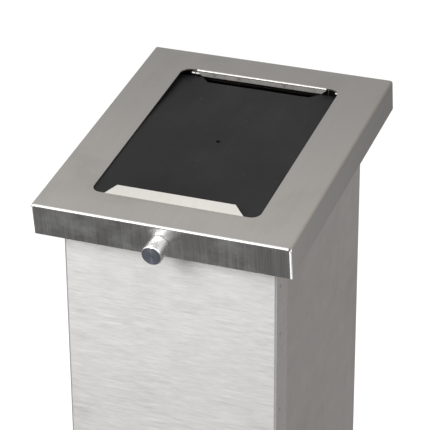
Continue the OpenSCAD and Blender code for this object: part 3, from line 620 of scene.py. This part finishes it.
def wire(name, path, radius, sides=10):
    """Sweeps a round wire along a path, with rounded ends and the UV map "grain" in metres.

    Each ring lies square to the path. Its first direction is the last ring's, laid into the new
    plane, so the wire doesn't twist. u runs round the wire and v along it.
    """
    path = np.array(path, float)
    heading = np.gradient(path, axis=0)
    heading /= np.linalg.norm(heading, axis=1)[:, None]
    start, end = path[0] - heading[0] * radius * 0.6, path[-1] + heading[-1] * radius * 0.6
    path = np.vstack([start, path, end])
    heading = np.vstack([heading[0], heading, heading[-1]])
    radii = np.full(len(path), radius)
    radii[0] = radii[-1] = radius * 0.55
    angles = np.linspace(0, 2 * np.pi, sides, endpoint=False)
    first = np.array(Vector(heading[0]).orthogonal().normalized())
    points = []
    for place, ahead, r in zip(path, heading, radii):
        first = first - ahead * (first @ ahead)
        first /= np.linalg.norm(first)
        second = np.cross(ahead, first)
        for a in angles:
            points.append(place + r * (math.cos(a) * first + math.sin(a) * second))
    along = np.concatenate([[0], np.cumsum(np.linalg.norm(np.diff(path, axis=0), axis=1))])
    faces, uvs = [tuple(range(sides))[::-1]], [(0, 0)] * sides
    for i in range(len(path) - 1):
        here, there = i * sides, (i + 1) * sides
        for j in range(sides):
            k = (j + 1) % sides
            faces.append((here + j, here + k, there + k, there + j))
            u0, u1 = (angles[1] * step * radius for step in (j, j + 1))
            uvs += [(u0, along[i]), (u1, along[i]), (u1, along[i + 1]), (u0, along[i + 1])]
    last = (len(path) - 1) * sides
    faces.append(tuple(range(last, last + sides)))
    uvs += [(0, 0)] * sides
    mesh = bpy.data.meshes.new(name)
    mesh.from_pydata([tuple(p) for p in points], [], faces)
    mesh.uv_layers.new(name="grain").data.foreach_set("uv", np.array(uvs, np.float32).ravel())
    for face in mesh.polygons:
        face.use_smooth = True
    piece = bpy.data.objects.new(name, mesh)
    bpy.context.scene.collection.objects.link(piece)
    return piece


rod_place = Vector((0, 0.136307, 0.877338))
rear_tilt = tilt - math.radians(3)
ROD_BACK = Vector((0, math.cos(rear_tilt), math.sin(rear_tilt)))
ROD_UP = Vector((0, -math.sin(rear_tilt), math.cos(rear_tilt)))
wire_r, coil_r, spring_x, spring_l = 0.5 * MM, 3.2 * MM, 83 * MM, 16 * MM
leg_back, leg_front, leg_bend, lid_under = 6.7 * MM, 26 * MM, 1 * MM, -1.7 * MM
leg_x, last_x = spring_x + wire_r, spring_x + spring_l - wire_r
turns, steps_per_turn = 14, 28
coil_gap, blend_in = 0.5 * MM, 1.5 * MM


def by_rod(x, back, up):
    """A place beside the rod: x across, back and up in the frame of the flap's rear part."""
    return rod_place + Vector((x, 0, 0)) + ROD_BACK * back + ROD_UP * up


leg_up = -lid_place(rod_place)[2] + lid_under - wire_r
for side, label in ((-1, "left"), (1, "right")):
    path = [
        by_rod(side * leg_x, leg_back, up) for up in np.linspace(leg_up, coil_r + leg_bend, 8)
    ]
    for t in np.linspace(0, math.pi / 2, 6)[1:]:
        back = leg_back - leg_bend + leg_bend * math.cos(t)
        up = coil_r + leg_bend - leg_bend * math.sin(t)
        path.append(by_rod(side * leg_x, back, up))
    path += [
        by_rod(side * leg_x, back, coil_r)
        for back in np.linspace(leg_back - 2 * leg_bend, coil_gap, 5)
    ]
    for t in np.linspace(0, 1, turns * steps_per_turn + 1):
        turn = 2 * math.pi * turns * t
        x = leg_x + t * (spring_l - 2 * wire_r)
        path.append(by_rod(side * x, -coil_r * math.sin(turn), coil_r * math.cos(turn)))
    path += [by_rod(side * last_x, -back, coil_r) for back in np.linspace(coil_gap, leg_front, 12)]
    spring = wire("flap_spring_%s_wound" % label, path, wire_r)
    spring.data.materials.append(wire_steel.material)
    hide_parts("flap_spring_" + label)
    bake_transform(spring)
clips = sheet_copy("rod_clips", edge=0.1 * MM)
clips.data.materials.append(wire_steel.material)
lay_grain(clips, (0, 0, 1), (0, 1, 0))

# ------------------------------------------------------------------ plain stainless pieces
# Rivets, screws, the hinge's leaves and pin, the washer and the bag ring: mill finish, duller
# than the sheet, with handling marks. The body's leaf is near black on the side that faces the
# front, painted shade, and the angle inside the rim is brushed like the side sheet.

mill_steel = brushed_steel(
    "mill_steel", (0.60, 0.595, 0.585, 1), (0.47, 0.465, 0.455, 1), 0.34, 1.0, anisotropy=0.35,
    smudges=0.9, clouds=0.15
)
for node in ("base_rivets", "hinge_rivets", "hinge_pin", "hinge_body_leaf", "hinge_lid_leaf",
             "knob_screw", "knob_washer", "flap_screws", "bag_ring"):
    piece = sheet_copy(node, edge=0.15 * MM)
    piece.data.materials.append(mill_steel)
    lay_grain(piece, (1, 0, 0), (0, 1, 0))
# Painted shade: near black for the front face of the body's hinge leaf.
leaf_shade_black = brushed_steel(
    "leaf_shade_black", (0.020, 0.018, 0.016, 1), (0.012, 0.011, 0.010, 1), 0.6, 0.8, anisotropy=0.0
)
leaf = bpy.data.objects["hinge_body_leaf_finished"]
leaf.data.materials.append(leaf_shade_black)
MILL, SHADED_FACE = range(2)
for face in leaf.data.polygons:
    face.material_index = SHADED_FACE if face.normal.y < -0.9 else MILL
rim = sheet_copy("rim_frame", edge=0.2 * MM)
rim.data.materials.append(side_steel)
lay_grain(rim, (1, 0, 0), (0, 1, 0))

# ------------------------------------------------------------------ galvanised pieces
# Hot-dipped base, runners, lugs and liner. The zinc has crystals of a centimetre or less in
# several greys, dull white bloom, and drag scratches that run up and down the liner.

zinc = Finish("galvanised_zinc", Metallic=0.85)
crystals = zinc.node(
    "ShaderNodeTexVoronoi", {"Vector": zinc.place((110, 110, 110)), "Scale": 1.0, "Randomness": 1.0}
)
grey = zinc.axis("X", crystals.outputs["Color"])
feather = zinc.noise(zinc.place((420, 420, 420)), detail=3)
bloom = zinc.noise(zinc.place((9, 9, 9)), detail=5, rough=0.65)
drag = zinc.noise(zinc.place((330, 330, 5)), detail=2)
tone = zinc.mix(grey, (0.36, 0.38, 0.40, 1), (0.56, 0.58, 0.60, 1))
tone = zinc.mix(zinc.remap(feather, 0.35, 0.65, 0, 0.35), tone, (0.44, 0.46, 0.48, 1))
tone = zinc.mix(zinc.remap(bloom, 0.5, 0.72, 0, 0.6), tone, (0.66, 0.67, 0.67, 1))
tone = zinc.mix(zinc.remap(drag, 0.68, 0.76, 0, 0.5), tone, (0.25, 0.26, 0.27, 1))
zinc.link(tone, "Base Color")
shine = zinc.math("ADD", zinc.remap(grey, 0, 1, 0.34, 0.50), zinc.remap(bloom, 0.45, 0.7, 0, 0.15))
zinc.link(shine, "Roughness")
zinc.bump(zinc.math("ADD", grey, feather), 0.012 * MM, 0.6)
for node in ("base_plate", "liner_runners", "locating_lugs", "liner", "liner_floor"):
    piece = sheet_copy(node, edge=0.2 * MM)
    piece.data.materials.append(zinc.material)

# ------------------------------------------------------------------ rubber seal
# Black extruded strip on the rim, matt with a bloom of dust and fine lines along its length.

rubber = Finish("seal_rubber_strip", Roughness=0.75, Specular_IOR_Level=0.3)
dust = rubber.noise(rubber.place((40, 40, 40)), detail=5, rough=0.7)
line = rubber.noise(rubber.place((25, 25, 2600)), detail=2)
tone = rubber.mix(
    rubber.remap(dust, 0.45, 0.75, 0, 1), (0.012, 0.012, 0.012, 1), (0.04, 0.038, 0.036, 1)
)
rubber.link(tone, "Base Color")
rubber.link(rubber.remap(dust, 0.3, 0.7, 0.66, 0.85), "Roughness")
rubber.bump(rubber.math("ADD", line, dust), 0.04 * MM, 0.6)
seal = sheet_copy("rim_seal", edge=0.4 * MM)
seal.data.materials.append(rubber.material)

# ------------------------------------------------------------------ room, lights and camera
# A pale floor under a soft sky, one large soft box in front on the left, one fill on the right.

floor_half = 30
floor_mesh = bpy.data.meshes.new("floor")
floor_mesh.from_pydata(
    [(-floor_half, -floor_half, 0), (floor_half, -floor_half, 0),
     (floor_half, floor_half, 0), (-floor_half, floor_half, 0)], [], [(0, 1, 2, 3)]
)
floor = bpy.data.objects.new("floor", floor_mesh)
bpy.context.scene.collection.objects.link(floor)
floor.visible_glossy = False
floor_paint = Finish("floor_paint", Roughness=0.9, Specular_IOR_Level=0.1)
floor_tone = floor_paint.noise(floor_paint.place((2, 2, 2)), detail=4)
floor_paint.shader.inputs["Emission Color"].default_value = (1, 1, 1, 1)
floor_paint.shader.inputs["Emission Strength"].default_value = 0.10
floor_paint.link(
    floor_paint.mix(floor_tone, (0.90, 0.90, 0.90, 1), (0.93, 0.93, 0.93, 1)), "Base Color"
)
floor_mesh.materials.append(floor_paint.material)

world = bpy.data.worlds.new("studio")
world.use_nodes = True
bpy.context.scene.world = world
sky = world.node_tree
background = sky.nodes["Background"]
direction = sky.nodes.new("ShaderNodeTexCoord")
parts = sky.nodes.new("ShaderNodeSeparateXYZ")
sky.links.new(direction.outputs["Generated"], parts.inputs[0])


def sky_range(output, low, high, to_low, to_high):
    """Smooth change of one direction component into a brightness."""
    made = sky.nodes.new("ShaderNodeMapRange")
    made.interpolation_type = "SMOOTHSTEP"
    sky.links.new(output, made.inputs["Value"])
    for index, value in ((1, low), (2, high), (3, to_low), (4, to_high)):
        made.inputs[index].default_value = value
    return made.outputs["Result"]


upper = sky_range(parts.outputs["Y"], -0.5, 0.6, 1.15, 0.62)
lower = sky_range(parts.outputs["Y"], -0.8, 0.8, 0.22, 0.36)
split = sky_range(parts.outputs["Z"], -0.10, 0.10, 0.0, 1.0)
sky_mix = sky.nodes.new("ShaderNodeMix")
sky_mix.data_type = "FLOAT"
for output, index in ((split, 0), (lower, 2), (upper, 3)):
    sky.links.new(output, sky_mix.inputs[index])
sky.links.new(sky_mix.outputs[0], background.inputs["Strength"])
background.inputs["Color"].default_value = (1, 0.995, 0.985, 1)


def soft_box(name, place, target, size, power):
    """A square area light at place that looks at target."""
    lamp = bpy.data.lights.new(name, "AREA")
    lamp.shape = "RECTANGLE"
    lamp.size, lamp.size_y = size
    lamp.energy = power
    box = bpy.data.objects.new(name, lamp)
    box.location = place
    box.rotation_euler = (Vector(target) - Vector(place)).to_track_quat("-Z", "Y").to_euler()
    box.visible_camera = False
    bpy.context.scene.collection.objects.link(box)


middle = (0, 0, 0.8)
soft_box("key", (-1.1, -2.4, 2.3), middle, (1.6, 1.6), 55)
soft_box("fill", (2.4, -0.6, 2.6), middle, (1.5, 1.5), 18)

view = bpy.data.cameras.new("view")
view.sensor_width = 36
view.lens = 177.9
view.shift_x = -0.0395
view.shift_y = -0.0327
camera = bpy.data.objects.new("view", view)
azimuth, elevation, roll = math.radians(21.15), math.radians(26.43), math.radians(-0.19)
camera.rotation_euler = (
    Matrix.Rotation(azimuth, 4, "Z")
    @ Matrix.Rotation(math.pi / 2 - elevation, 4, "X")
    @ Matrix.Rotation(roll, 4, "Z")
).to_euler()
camera.location = (0.7979, -2.0180, 1.8777)
bpy.context.scene.collection.objects.link(camera)
bpy.context.scene.camera = camera
bpy.context.scene.view_settings.view_transform = "Standard"
